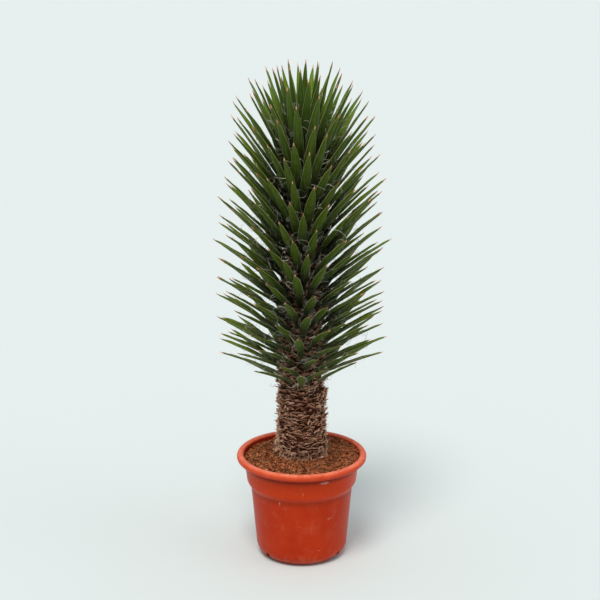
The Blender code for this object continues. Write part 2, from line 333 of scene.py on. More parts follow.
def tube(path, radii, across, sides=3):
    """A closed round bar along a path. across is a direction that the path is never parallel to."""
    path = np.asarray(path, float)
    along = unit(np.gradient(path, axis=0))
    side = unit(across - (along @ across)[:, None] * along)
    up = np.cross(along, side)
    turn = np.linspace(0, math.tau, sides, endpoint=False)[None, :, None]
    ring = np.cos(turn) * side[:, None] + np.sin(turn) * up[:, None]
    radii = np.broadcast_to(radii, len(path))[:, None, None]
    return path[:, None] + ring * radii, ring_faces(len(path), sides)


def curl(start, heading, axis, radius, length, steps, rise=0.0, tighten=0.0):
    """A path that leaves start along heading and winds about axis, climbing along it by rise in all."""
    share = (np.arange(steps) + 0.5) / steps
    angle = length / radius * (share + tighten * share**2)
    heading = unit(heading - np.dot(heading, axis) * axis)
    side = np.cross(axis, heading)
    step = np.cos(angle)[:, None] * heading + np.sin(angle)[:, None] * side
    step = step * length / steps + axis * rise / steps
    return np.vstack([start, start + np.cumsum(step, axis=0)])


def girth(stations, height):
    """The stem's radius at this height."""
    heights, radii = zip(*stations)
    return float(np.interp(height, heights, radii))


def arc(centre, radius, start, end, count):
    """Points of an arc in the profile's plane, from start to end in degrees."""
    angles = np.radians(np.linspace(start, end, count))
    return [(centre[0] + radius * math.cos(a), centre[1] + radius * math.sin(a)) for a in angles]


def eased(points, radius, steps=5):
    """The polyline with each inner corner rounded."""
    points = [np.array(p) for p in points]
    made = [tuple(points[0])]
    for before, corner, after in zip(points, points[1:], points[2:]):
        first = corner + (before - corner) * min(0.45, radius / np.linalg.norm(before - corner))
        last = corner + (after - corner) * min(0.45, radius / np.linalg.norm(after - corner))
        for t in np.linspace(0, 1, steps):
            made.append(tuple((1 - t)**2 * first + 2 * t * (1 - t) * corner + t * t * last))
    made.append(tuple(points[-1]))
    return made


def turned(profile, steps):
    """The profile's points of (radius, height) turned about the Z axis, closed where they meet it."""
    form = bmesh.new()
    points = [form.verts.new((radius, 0, height)) for radius, height in profile]
    for first, second in zip(points, points[1:]):
        form.edges.new((first, second))
    line = list(form.verts) + list(form.edges)
    bmesh.ops.spin(form, geom=line, cent=(0, 0, 0), axis=(0, 0, 1), angle=math.tau, steps=steps)
    bmesh.ops.remove_doubles(form, verts=form.verts, dist=0.00001)
    return form


def mesh_from(form, name):
    bmesh.ops.recalc_face_normals(form, faces=form.faces)
    mesh = bpy.data.meshes.new(name)
    form.to_mesh(mesh)
    form.free()
    return mesh


class Nodes:
    """A material, and short calls that add nodes to it."""

    def __init__(self, name, roughness=0.5, specular=0.15):
        self.material = bpy.data.materials.new(name)
        self.material.use_nodes = True
        self.tree = self.material.node_tree
        self.shader = self.tree.nodes["Principled BSDF"]
        self.shader.inputs["Roughness"].default_value = roughness
        self.shader.inputs["Specular IOR Level"].default_value = specular
        self.colour = None

    def node(self, kind, *inputs, **settings):
        made = self.tree.nodes.new("ShaderNode" + kind)
        for name, value in settings.items():
            setattr(made, name, value)
        for slot, value in zip(made.inputs, inputs):
            self.put(value, slot)
        return made

    def put(self, value, slot):
        if isinstance(value, bpy.types.NodeSocket):
            self.tree.links.new(value, slot)
        elif value is not None:
            slot.default_value = (*value, 1) if slot.type == "RGBA" and len(value) == 3 else value

    def mark(self, name):
        return self.node("Attribute", attribute_name=name).outputs["Fac"]

    def place(self, scale=(1, 1, 1)):
        """Object coordinates in metres, scaled along each axis."""
        where = self.node("TexCoord").outputs["Object"]
        return self.node("Mapping", where, None, None, scale).outputs[0]

    def height(self):
        return self.node("SeparateXYZ", self.place()).outputs["Z"]

    def radius(self):
        """The distance from the plant's axis."""
        return self.node("VectorMath", self.place((1, 1, 0)), operation="LENGTH").outputs["Value"]

    def spot(self, centre, reach):
        """1 about a point and 0 beyond reach, which is given along each axis."""
        away = self.node("VectorMath", self.place(), centre, operation="SUBTRACT").outputs[0]
        away = self.node("VectorMath", away, reach, operation="DIVIDE").outputs[0]
        return self.span(self.node("VectorMath", away, operation="LENGTH").outputs["Value"], 1.0, 0.35)

    def noise(self, scale, detail=3.0, roughness=0.55, where=None):
        made = self.node("TexNoise")
        self.put(self.place() if where is None else where, made.inputs["Vector"])
        made.inputs["Scale"].default_value = scale
        made.inputs["Detail"].default_value = detail
        made.inputs["Roughness"].default_value = roughness
        return made.outputs["Fac"]

    def math(self, operation, *inputs, clamp=False):
        return self.node("Math", *inputs, operation=operation, use_clamp=clamp).outputs[0]

    def times(self, first, *others):
        for other in others:
            first = self.math("MULTIPLY", first, other)
        return first

    def span(self, value, low, high, out_low=0.0, out_high=1.0):
        """Maps value from low..high to out_low..out_high, smoothly and clamped."""
        made = self.node("MapRange", value, low, high, out_low, out_high, interpolation_type="SMOOTHSTEP")
        return made.outputs["Result"]

    def band(self, value, rise, fall):
        """Comes in over the first pair of values and goes out over the second."""
        return self.times(self.span(value, *rise), self.span(value, *fall))

    def mix(self, factor, first, second):
        made = self.node("Mix", data_type="RGBA")
        self.put(factor, made.inputs["Factor"])
        self.put(first, made.inputs[MIX_FIRST])
        self.put(second, made.inputs[MIX_SECOND])
        return made.outputs[MIX_RESULT]

    def bump(self, height, strength, distance, onto=None):
        made = self.node("Bump")
        made.inputs["Strength"].default_value = strength
        made.inputs["Distance"].default_value = distance
        self.put(height, made.inputs["Height"])
        self.put(onto, made.inputs["Normal"])
        return made.outputs["Normal"]

    def coat(self, colour, *shares):
        """Covers the colour so far with another one, by the product of the shares."""
        self.colour = self.mix(self.times(*shares), self.colour, colour)

    def done(self, roughness=None, normal=None):
        self.put(self.colour, self.shader.inputs["Base Color"])
        self.put(roughness, self.shader.inputs["Roughness"])
        self.put(normal, self.shader.inputs["Normal"])
        return self.material


def plastic_finish():
    """Moulded terracotta plastic: mottled, scuffed, faded at its rim and dirty at its foot, with painted
    light on the rim's top and on the collar, a painted highlight on the crest, and painted shade inside
    the rim, under it and under the step.
    """
    n = Nodes("terracotta_plastic_fine", 0.36, 0.10)
    height = n.height()
    mottle = n.noise(14, 5, 0.6)
    n.colour = n.mix(n.span(mottle, 0.35, 0.7), (0.490, 0.028, 0.002), (0.545, 0.038, 0.004))
    chalk = n.times(n.span(n.noise(32, 6, 0.7), 0.48, 0.78), 0.22)
    n.coat((0.60, 0.18, 0.11), chalk)
    wear_and_sheen = n.span(n.noise(60, 5, 0.7), 0.30, 0.70, 0.45, 1.0)
    outside = n.span(n.radius(), RIM_INSIDE, RIM_INSIDE + WALL)
    # Faded plastic at the rim, with painted light on its top
    n.coat((0.82, 0.120, 0.050), n.span(height, *FADED_AND_LIT_RIM), wear_and_sheen, outside)
    # A painted highlight along the roll's crest
    n.coat((0.98, 0.34, 0.23), n.span(height, *CREST_PAINTED_HIGHLIGHT), wear_and_sheen, outside, 0.6)
    # Painted shade on the inner wall below the rim
    inside = n.span(n.radius(), RIM_INSIDE + 0.0015, RIM_INSIDE - 0.0005)
    n.coat((0.23, 0.012, 0.004), inside, n.span(height, *SHADED_INSIDE), 0.75)
    # Painted light on the collar, against the rim's shade
    n.coat((0.640, 0.048, 0.006), n.band(height, *COLLAR_PAINTED_LIGHT), 0.8)
    # Painted shade under the rim and under the step
    painted_shade = n.math("ADD", n.band(height, *SHADE_BELOW_RIM), n.band(height, *SHADE_BELOW_STEP))
    n.coat((0.200, 0.022, 0.006), painted_shade, 0.30)
    drawn = n.noise(1, 4, 0.65, n.place((260, 260, 14)))
    n.coat((0.60, 0.20, 0.13), n.span(drawn, 0.56, 0.76), 0.20)
    scuffs = n.noise(1, 2, 0.5, n.place((34, 34, 80)))
    fine = n.noise(260, 3, 0.6)
    scuff = n.times(n.span(scuffs, 0.70, 0.76), n.span(fine, 0.48, 0.66))
    for centre, reach, share in SCUFFS:
        mark = n.times(n.spot(centre, reach), n.span(fine, 0.40, 0.56, 0.3, 1.0))
        scuff = n.math("MAXIMUM", scuff, n.times(mark, share))
    n.coat((0.80, 0.52, 0.42), scuff, 0.6)
    dust = n.span(n.noise(60, 5, 0.7), 0.42, 0.72)
    n.coat((0.46, 0.22, 0.14), n.span(height, *DUSTY_FOOT), dust, 0.42)
    specks = n.span(n.noise(150, 4, 0.65), 0.60, 0.70)
    n.coat((0.060, 0.022, 0.010), n.span(height, *SPECKLED_FOOT), specks, 0.80)
    rough = n.span(mottle, 0.3, 0.75, 0.30, 0.44)
    rough = n.math("ADD", rough, n.times(chalk, 0.35), clamp=True)
    grain = n.bump(n.noise(900, 3, 0.6), 0.08, 0.0004)
    dents = n.bump(n.noise(16, 3, 0.5), 0.20, 0.0012, grain)
    scratch = n.bump(scuff, 0.35, 0.0003, dents)
    return n.done(rough, scratch)


def soil_finish():
    """Coir and peat: red-brown, with paler, darker and a few whitish crumbs, and damp patches; painted
    shade darkens it low down, where the notches show it.
    """
    n = Nodes("potting_soil_fine", 0.95, 0.08)
    tone = n.mark("tone")
    clump = n.noise(105, 5, 0.72)
    n.colour = n.mix(n.span(clump, 0.40, 0.62), (0.118, 0.031, 0.011), (0.660, 0.195, 0.072))
    n.coat((0.72, 0.290, 0.140), n.span(tone, 0.50, 1.0), 0.85)
    n.coat((0.030, 0.010, 0.005), n.span(tone, 0.42, 0.10), 0.90)
    n.coat((0.85, 0.56, 0.38), n.span(tone, 0.985, 0.992), 0.7)
    damp = n.times(n.span(n.noise(26, 2, 0.5), 0.52, 0.64), 0.45)
    n.coat((0.070, 0.022, 0.010), damp)
    # Painted shade low in the filling, where it shows through the notches
    n.coat((0.006, 0.003, 0.002), n.span(n.height(), *SOIL_PAINTED_SHADE, 0.0, 0.96))
    return n.done(None, n.bump(n.noise(900, 5, 0.75), 0.8, 0.0012))


def bark_finish():
    """Dead leaf bases: brown and fibrous, pale where they were torn and brightened there as painted
    highlight, redder near the leaves, and in painted shade low on each plate.
    """
    n = Nodes("old_leaf_bases_fine", 0.88, 0.1)
    tone = n.mark("tone")
    tip = n.mark("tip")
    strand = n.noise(1, 4, 0.65, n.place((420, 420, 160)))
    n.colour = n.mix(n.span(strand, 0.36, 0.66), (0.150, 0.036, 0.016), (0.640, 0.205, 0.110))
    n.coat((0.78, 0.370, 0.220), n.span(tone, 0.3, 1.0), 0.6)
    n.coat((0.120, 0.048, 0.026), n.span(tone, 0.45, 0.0), 0.5)
    patch = n.times(n.span(n.height(), *BARK_REDDENS), n.span(n.noise(38, 2, 0.5), 0.44, 0.58), 0.7)
    n.coat((0.33, 0.075, 0.022), patch)
    ochre = n.times(n.span(n.noise(75, 2, 0.5), 0.64, 0.72), 0.7)
    n.coat((0.38, 0.180, 0.050), ochre)
    # Pale torn edges, partly their own colour and partly a painted highlight on the plates' upper edges
    torn = n.times(n.span(tip, 0.72, 0.95), n.span(strand, 0.26, 0.58, 0.20, 1.0))
    torn = n.times(torn, n.span(tone, 0.0, 0.8, 0.60, 1.0))
    n.coat((1.0, 0.72, 0.52), torn)
    knob = n.times(n.span(tone, 0.945, 0.955), n.span(tip, 0.45, 0.70), 0.85)
    n.coat((1.0, 0.82, 0.68), knob)
    # Painted shade on the plates' lower parts and on the bare stem between them
    n.coat((0.016, 0.007, 0.004), n.span(tip, 0.74, 0.18), 0.90)
    return n.done(None, n.bump(strand, 0.7, 0.0012))


def sheath_finish():
    """The papery wings at the living leaves' bases: brown, with pinkish torn edges and painted shade at
    their feet.
    """
    n = Nodes("leaf_sheath_fine", 0.8, 0.1)
    tip = n.mark("tip")
    strand = n.noise(1, 4, 0.65, n.place((420, 420, 120)))
    n.colour = n.mix(n.span(strand, 0.34, 0.70), (0.120, 0.046, 0.020), (0.500, 0.210, 0.120))
    pale = n.span(n.height(), *SHEATHS_PALE, 0.30, 1.0)
    torn = n.times(n.span(tip, 0.66, 1.0), n.span(strand, 0.28, 0.64, 0.20, 0.95))
    n.coat((0.95, 0.62, 0.45), torn, pale)
    # Painted shade at the wings' feet and on the stem under the leaves
    n.coat((0.010, 0.008, 0.004), n.span(tip, 0.80, 0.20), 0.88)
    return n.done(None, n.bump(strand, 0.6, 0.001))


def thread_finish(name, low, high):
    """Dry threads, whose shade varies from one to the next."""
    n = Nodes(name, 0.75, 0.15)
    tone = n.mark("tone")
    n.colour = n.mix(tone, low, high)
    n.coat(low, n.span(n.noise(120, 2), 0.4, 0.7, 0.0, 0.35))
    return n.done()


def leaf_finish():
    """Stiff waxy leaf: streaked green, with pale margins, grey-green lines below and a horny spine;
    painted light makes it lighter towards the tips and at the top of the head, and painted shade darkens
    its underside and its feet.
    """
    n = Nodes("leaf_green_fine", 0.36, 0.14)
    n.shader.inputs["Specular Tint"].default_value = (0.80, 1.0, 0.45, 1)
    along = n.mark("along")
    across = n.mark("across")
    tone = n.mark("tone")
    under = n.mark("under")
    stretched = (n.times(across, 7.0), n.times(along, 1.4), n.times(tone, 61.0))
    where = n.node("CombineXYZ", *stretched).outputs[0]
    streak = n.noise(1.6, 4, 0.6, where)
    blotch = n.noise(38, 3, 0.55)
    fine = n.noise(4.2, 3, 0.65, where)
    n.colour = n.mix(n.span(streak, 0.36, 0.66), (0.036, 0.084, 0.0005), (0.240, 0.385, 0.002))
    n.coat((0.040, 0.072, 0.004), n.span(tone, 0.25, 1.0, 0.0, 0.60))
    # Painted light: lighter towards the tips
    n.coat((0.270, 0.395, 0.008), n.span(along, 0.34, 0.92, 0.0, 0.50))
    n.coat((0.200, 0.250, 0.050), n.span(fine, 0.50, 0.68), 0.40)
    n.coat((0.010, 0.024, 0.001), n.span(fine, 0.46, 0.32), 0.60)
    n.coat((0.125, 0.150, 0.022), n.span(blotch, 0.52, 0.75), 0.28)
    # Painted light on the top of the head
    n.coat((0.160, 0.350, 0.040), n.span(n.height(), *LEAVES_PAINTED_LIGHT), 0.60)
    # Painted shade on the undersides
    n.coat((0.012, 0.022, 0.004), under, 0.65)
    edge = n.math("ABSOLUTE", across)
    n.coat((0.020, 0.046, 0.001), n.span(edge, 0.35, 0.90), 0.50)
    margin = n.times(n.span(edge, 0.88, 1.0), n.span(along, 0.96, 0.90, 0.0, 0.65))
    n.coat((0.48, 0.47, 0.20), margin)
    # Painted shade on the leaves' feet deep in the head
    painted_deep_shade = n.times(n.span(along, 0.62, 0.20), n.span(n.height(), *FEET_DARKEN, 0.20, 1.0))
    n.coat((0.004, 0.006, 0.001), painted_deep_shade)
    root = n.span(along, 0.12, 0.02)
    n.coat((0.22, 0.125, 0.070), root, 0.9)
    ripe = n.times(n.span(along, 0.880, 0.955), n.span(tone, 0.2, 0.9, 0.25, 0.8))
    n.coat((0.22, 0.150, 0.035), ripe)
    lines = n.span(n.noise(5.5, 3, 0.6, where), 0.55, 0.66)
    below = n.times(under, lines, n.span(along, 0.92, 0.40, 0.10, 0.65))
    n.coat((0.400, 0.420, 0.310), below)
    horn = n.mix(tone, (0.92, 0.46, 0.28), (0.44, 0.17, 0.08))
    n.coat(horn, n.span(along, 0.942, 0.966))
    n.coat((0.20, 0.07, 0.03), n.span(along, 0.990, 1.0, 0.0, 0.8))
    rough = n.span(streak, 0.3, 0.7, 0.32, 0.44)
    grooves = n.bump(streak, 0.32, 0.0011)
    pores = n.bump(n.noise(420, 3, 0.6), 0.12, 0.0004, grooves)
    return n.done(rough, pores)


def floor_finish():
    """Plain and pale, as the photograph's background."""
    n = Nodes("pale_floor", 0.9, 0.0)
    n.colour = (0.722, 0.800, 0.830)
    return n.done()


def pot_profile():
    """The middle of the container's wall, from the rim's free lip over the roll to the floor's centre."""
    half = WALL / 2
    roll_centre = (RIM_RADIUS - RIM_ROLL_RADIUS, RIM_ROLL_HEIGHT)
    roll = arc(roll_centre, RIM_ROLL_RADIUS - half, RIM_LIP_ANGLE, 180, 26)
    sides = [(radius - half, height) for radius, height in
             (COLLAR_TOP, COLLAR_FOOT, SHOULDER_FOOT, WALL_TOP)]
    corner = arc(CORNER_CENTRE, CORNER_RADIUS - half, CORNER_START_ANGLE, -90, 14)
    return roll + eased([roll[-1], *sides, corner[0]], STEP_ROUNDING)[1:-1] + corner + [(0.0, half)]


def cutting_bar(radius, length, matrix):
    form = bmesh.new()
    bmesh.ops.create_cone(
        form, cap_ends=True, segments=BAR_SIDES, radius1=radius, radius2=radius, depth=length)
    bmesh.ops.transform(form, matrix=matrix, verts=form.verts)
    return form


def make_pot():
    """The container as a turned sheet made solid, with its notches and floor holes cut through."""
    pot = shown("pot_shell", mesh_from(turned(pot_profile(), POT_STEPS), "pot_shell"), plastic_finish())
    shell = pot.modifiers.new("wall", "SOLIDIFY")
    shell.thickness = WALL
    shell.offset = 0
    shell.use_even_offset = True
    bars = bmesh.new()
    length = RIM_RADIUS - NOTCH_START
    level = Matrix.Rotation(math.pi / 2, 4, "Y")
    arched = Matrix.Scale(NOTCH_HEIGHT / NOTCH_HALF_WIDTH, 4, (0, 0, 1)) @ level
    lying = Matrix.Translation((NOTCH_START + length / 2, 0, 0)) @ arched
    upright = Matrix.Translation((FLOOR_HOLE_PITCH_RADIUS, 0, 0))
    for degrees in NOTCH_TURNS:
        turn = math.radians(degrees - 90)
        half_way = math.radians(degrees - 45)
        for radius, reach, spin, place in ((NOTCH_HALF_WIDTH, length, turn, lying),
                                           (FLOOR_HOLE_RADIUS, 6 * WALL, half_way, upright)):
            bar = cutting_bar(radius, reach, Matrix.Rotation(spin, 4, "Z") @ place)
            piece = bpy.data.meshes.new("bar")
            bar.to_mesh(piece)
            bar.free()
            bars.from_mesh(piece)
            bpy.data.meshes.remove(piece)
    cutter = bpy.data.objects.new("bars", mesh_from(bars, "bars"))
    bpy.context.scene.collection.objects.link(cutter)
    drain = pot.modifiers.new("drainage", "BOOLEAN")
    drain.object = cutter
    drain.operation = "DIFFERENCE"
    drain.solver = "EXACT"
    bpy.context.view_layer.update()
    graph = bpy.context.evaluated_depsgraph_get()
    made = bpy.data.meshes.new_from_object(pot.evaluated_get(graph))
    pot.modifiers.clear()
    pot.data = made
    made.shade_smooth()
    made.set_sharp_from_angle(angle=math.radians(40))
    bpy.data.objects.remove(cutter)
    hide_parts("pot")


def wall_inside(height):
    """The inner radius of the container's wall between the collar's top and the roll."""
    return float(np.interp(height, (COLLAR_TOP[1], RIM_ROLL_HEIGHT), (COLLAR_TOP[0] - WALL, RIM_INSIDE)))


def soil_height(x, y):
    """The soil's surface as in the solids."""
    outward = (math.hypot(x, y) - STEM_FOOT_RADIUS) / (RIM_INSIDE - STEM_FOOT_RADIUS)
    outward = min(1.0, max(0.0, outward))
    mound = SOIL_AT_STEM + (SOIL_AT_RIM - SOIL_AT_STEM) * outward**SOIL_MOUND_POWER
    side = math.radians(SOIL_HIGH_SIDE)
    tilt = SOIL_TILT * outward * (x * math.cos(side) + y * math.sin(side)) / RIM_INSIDE
    crumb = SOIL_CRUMB * outward * noise.noise(Vector((x, y, 0)) * SOIL_CRUMBS_PER_METRE)
    return mound + tilt + crumb


def soil_relief(x, y):
    """How far clumps, lumps and grains raise or lower the soil's surface."""
    here = Vector((x, y, 0))
    clumps = SOIL_CLUMPS[1] * noise.noise(here * SOIL_CLUMPS[0])
    lumps = SOIL_LUMPS[1] * abs(noise.noise(here * SOIL_LUMPS[0] + Vector((7, 3, 1))))
    grains = SOIL_GRAINS[1] * noise.noise(here * SOIL_GRAINS[0])
    return clumps + lumps + grains - SOIL_GRAINS[1]


def make_soil():
    """The filling with a finely broken surface, then loose crumbs and fibres on it."""
    finish = soil_finish()
    hole = STEM_FOOT_RADIUS - SOIL_UNDER_STEM
    edge = wall_inside(SOIL_AT_RIM) - SOIL_WALL_GAP
    top = [(radius, SOIL_AT_RIM) for radius in np.linspace(hole, edge, SOIL_RINGS)]
    wall = [(radius - WALL - SOIL_WALL_GAP, height) for radius, height in
            (COLLAR_TOP, COLLAR_FOOT, SHOULDER_FOOT, WALL_TOP)]
    corner = arc(CORNER_CENTRE, CORNER_RADIUS - WALL - SOIL_WALL_GAP, CORNER_START_ANGLE, -90, 6)
    foot = corner + [(0.0, corner[-1][1])]
    form = turned([(0.0, STEM_FOOT_BOTTOM), (hole, STEM_FOOT_BOTTOM)] + top + wall + foot, SOIL_STEPS)
    for vertex in form.verts:
        if abs(vertex.co.z - SOIL_AT_RIM) > 0.00001:
            continue
        radius = vertex.co.xy.length
        vertex.co.z = soil_height(vertex.co.x, vertex.co.y) + soil_relief(vertex.co.x, vertex.co.y)
        if abs(radius - edge) < 0.00001:
            vertex.co.xy *= (wall_inside(vertex.co.z) - SOIL_WALL_GAP) / radius
    mesh = mesh_from(form, "soil_bed")
    put_mark(mesh, "tone", [0.3 + 0.25 * noise.noise(v.co * 90) for v in mesh.vertices])
    mesh.shade_smooth()
    bed = shown("soil_bed", mesh, finish)
    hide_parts("soil")
    loose_crumbs(finish)
    loose_fibres()


def spot_on_soil(draw, inner, outer):
    """A random place on the soil, even over its area."""
    radius = math.sqrt(draw.uniform(inner**2, outer**2))
    turn = draw.uniform(0, math.tau)
    x, y = radius * math.cos(turn), radius * math.sin(turn)
    return np.array([x, y, soil_height(x, y) + soil_relief(x, y)])


def loose_crumbs(finish):
    """Lumpy grains of many sizes, spread over the soil."""
    draw = random.Random(CRUMB_SEED)
    form = bmesh.new()
    bmesh.ops.create_icosphere(form, subdivisions=1, radius=1)
    form.verts.ensure_lookup_table()
    ball = np.array([v.co for v in form.verts])
    faces = [tuple(v.index for v in face.verts) for face in form.faces]
    form.free()
    heap = Heap()
    for _ in range(CRUMB_COUNT):
        size = draw.uniform(*CRUMB_SIZES) * (BIG_CRUMB_SCALE if draw.random() < BIG_CRUMB_SHARE else 1)
        spot = spot_on_soil(draw, *CRUMB_RING)
        stretch = np.array([draw.uniform(0.7, 1.7), draw.uniform(0.6, 1.1), draw.uniform(0.5, 0.95)])
        lumps = np.array([draw.uniform(0.72, 1.25) for _ in ball])[:, None]
        spin = np.array(Matrix.Rotation(draw.uniform(0, math.tau), 3, "Z")
                        @ Matrix.Rotation(draw.uniform(-0.7, 0.7), 3, "X"))
        points = (ball * lumps * stretch * size) @ spin.T + spot + (0, 0, 0.25 * size)
        heap.add(points, faces, tone=draw.random())
    return heap.make("soil_crumbs", finish)


def loose_fibres():
    """Coir fibres that lie on the soil."""
    seed, count, lengths, bends, radii = COIR_FIBRES
    draw = random.Random(seed)
    heap = Heap()
    for _ in range(count):
        spot = spot_on_soil(draw, *COIR_RING)
        heading = spoke(draw.uniform(0, math.tau)) + UP * draw.uniform(-0.1, 0.35)
        length = draw.uniform(*lengths)
        axis = unit(UP + [draw.uniform(-0.5, 0.5), draw.uniform(-0.5, 0.5), 0])
        path = curl(spot + UP * 0.0009, heading, axis, draw.uniform(*bends), length, 5)
        points, faces = tube(path, draw.uniform(*radii) * np.array(COIR_TAPER), axis)
        heap.add(points, faces, tone=draw.random()**1.5)
    return heap.make("soil_fibres", thread_finish("coir_fibre", (0.15, 0.050, 0.020), (0.78, 0.42, 0.22)))


def scale_form(draw, width, tall, reach, thick, radius, height, turn, columns=12, rows=4):
    """A leaf base: a plate that hugs the stem below, stands off it above and ends torn.

    It returns points, faces and how far up the plate each point is, from 0 to 1.
    """
    u = np.linspace(-1, 1, columns)
    v = np.linspace(0, 1, rows)[:, None]
    jag = np.array([draw.uniform(-SCALE_JAG, SCALE_JAG) for _ in u])
    frill = np.array([draw.uniform(-SCALE_FRILL, SCALE_FRILL) for _ in u])
    slant = draw.uniform(-SCALE_SLANT, SCALE_SLANT)
    point = draw.uniform(0.25, 0.75)
    narrow = draw.uniform(0.70, 1.05)
    lean = draw.uniform(-0.2, 0.2)
    spread = 1 - (1 - narrow) * v**1.6
    crest = 1 - point * np.abs(u)**1.8 + jag
    curl_in = draw.uniform(0.2, 0.7)
    twist = draw.uniform(-0.35, 0.35)
    side = u * spread * width / 2 + lean * v * width * 0.3
    lift = v * tall * (1 + (crest - 1) * v**1.5) + slant * side
    out = reach * (0.1 + 0.9 * v**1.3)
    out = out * (1 - curl_in * u**2 + twist * u * v + frill * v**2)
    shell = thick * (1 - 0.35 * v) * (1 - 0.7 * np.abs(u)**2.5) + 0.0004
    layers = []
    for offset in (0.0, -1.0):
        distance = radius - 0.001 + out + offset * shell
        angle = turn + side / radius
        layers.append(np.stack([distance * np.cos(angle), distance * np.sin(angle), height + lift], -1))
    count = columns * rows
    grid = np.arange(count).reshape(rows, columns)
    faces = []
    for a in grid[:-1, :-1].flat:
        b, c, d = a + 1, a + columns + 1, a + columns
        faces.append((a, b, c, d))
        faces.append((d + count, c + count, b + count, a + count))
    rim = [*grid[0], *grid[1:, -1], *grid[-1, -2::-1], *grid[-2:0:-1, 0]]
    for a, b in zip(rim, rim[1:] + rim[:1]):
        faces.append((a, b, b + count, a + count)[::-1])
    tips = np.tile(np.repeat(v, columns), 2)
    return np.concatenate(layers), faces, tips


def rough_post(name, stations, low, high, finish, inset, steps=120, rings=90):
    """The stem itself, rough, as it shows in the gaps between what grows from it."""
    heights = np.linspace(low, high, rings)
    profile = [(0.0, low)] + [(girth(stations, h) - inset, h) for h in heights] + [(0.0, high)]
    form = turned(profile, steps)
    for vertex in form.verts:
        if vertex.co.xy.length > 0.0001 and low < vertex.co.z < high:
            vertex.co.xy *= 1 + WOOD_RELIEF * noise.noise(vertex.co * Vector(WOOD_GRAIN))
    mesh = mesh_from(form, name)
    # A tip mark of 0.25 puts the bare stem in its finish's painted shade
    for mark, value in (("tip", 0.25), ("tone", 0.3)):
        put_mark(mesh, mark, [value] * len(mesh.vertices))
    mesh.shade_smooth()
    return shown(name, mesh, finish)


def make_stem():
    """The woody stem with rows of torn leaf bases, their fibres, and rootlets about its foot."""
    finish = bark_finish()
    post = rough_post("stem_wood", STEM_GIRTH, WOOD_FOOT, STEM_TOP, finish, WOOD_INSET)
    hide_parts("stem")
    draw = random.Random(SCALE_SEED)
    widths, heights, reaches, thicknesses = SCALE_SIZES
    heap = Heap()
    rows = int((SCALES_END - SCALES_START) / SCALE_PITCH)
    for row in range(rows):
        share = row / (rows - 1)
        for i in range(SCALES_AROUND):
            turn = (i + 0.5 * (row % 2) + draw.uniform(-0.4, 0.4)) * math.tau / SCALES_AROUND
            height = SCALES_START + row * SCALE_PITCH + draw.uniform(-SCALE_SHIFT, SCALE_SHIFT)
            width = draw.uniform(*widths)
            tall = draw.uniform(*heights)
            reach = draw.uniform(*reaches) + SCALE_REACH_GAIN * share
            thick = draw.uniform(*thicknesses)
            if draw.random() < STUB_SHARE:
                width *= STUB_NARROWING
                reach += STUB_EXTRA_REACH
                tall += STUB_EXTRA_HEIGHT
            radius = girth(STEM_GIRTH, height)
            points, faces, tips = scale_form(draw, width, tall, reach, thick, radius, height, turn)
            heap.add(points, faces, tip=tips, tone=draw.random())
    scales = heap.make("stem_scales", finish)
    stem_fibres()
    rootlets()


def stem_fibres():
    """Loose fibres that lie along the torn edges and stick out of the gaps."""
    seed, count, lengths, bends, radii = BARK_FIBRES
    draw = random.Random(seed)
    heap = Heap()
    for _ in range(count):
        height = draw.uniform(SOIL_AT_STEM, STEM_TOP + 0.012)
        out = spoke(draw.uniform(0, math.tau))
        start = out * (girth(STEM_GIRTH, height) + draw.uniform(0.001, 0.005)) + UP * height
        heading = (np.cross(UP, out) * draw.choice((-1, 1)) + out * draw.uniform(-0.1, 0.5)
                   + UP * draw.uniform(-0.2, 0.7))
        axis = unit(UP * draw.uniform(0.3, 1) + out * draw.uniform(-1, 1))
        path = curl(start, heading, axis, draw.uniform(*bends), draw.uniform(*lengths), 7)
        points, faces = tube(path, draw.uniform(*radii) * np.array(STRAND_TAPER), axis)
        heap.add(points, faces, tone=draw.random())
    return heap.make("stem_fibres", thread_finish("bark_fibre", (0.32, 0.125, 0.065), (1.00, 0.67, 0.46)))


def rootlets():
    """Pale dry rootlets about the stem's foot, some of which reach over the soil."""
    seed, count, lengths, bends, radii = ROOTLETS
    draw = random.Random(seed)
    heap = Heap()
    for _ in range(count):
        out = spoke(draw.uniform(0, math.tau))
        height = SOIL_AT_STEM + draw.uniform(0.000, 0.026)
        start = out * (girth(STEM_GIRTH, height) + 0.003) + UP * height
        heading = (out * draw.uniform(0.2, 0.9) + np.cross(UP, out) * draw.uniform(-1, 1)
                   - UP * draw.uniform(0.1, 1))
        axis = unit(np.array([draw.uniform(-1, 1), draw.uniform(-1, 1), draw.uniform(-0.4, 0.4)]))
        length = draw.uniform(*lengths)
        path = curl(start, heading, axis, draw.uniform(*bends), length, 10)
        for point in path:
            point[2] = max(point[2], soil_height(point[0], point[1]) - 0.0006)
        points, faces = tube(path, draw.uniform(*radii) * np.linspace(1, 0.35, len(path)), axis, 5)
        heap.add(points, faces, tone=draw.random()**1.3)
    return heap.make("rootlets", thread_finish("rootlet", (0.15, 0.056, 0.028), (1.00, 0.69, 0.48)))


def scattered(draw, share):
    """A factor within this share of 1."""
    return 1 + draw.uniform(-share, share)


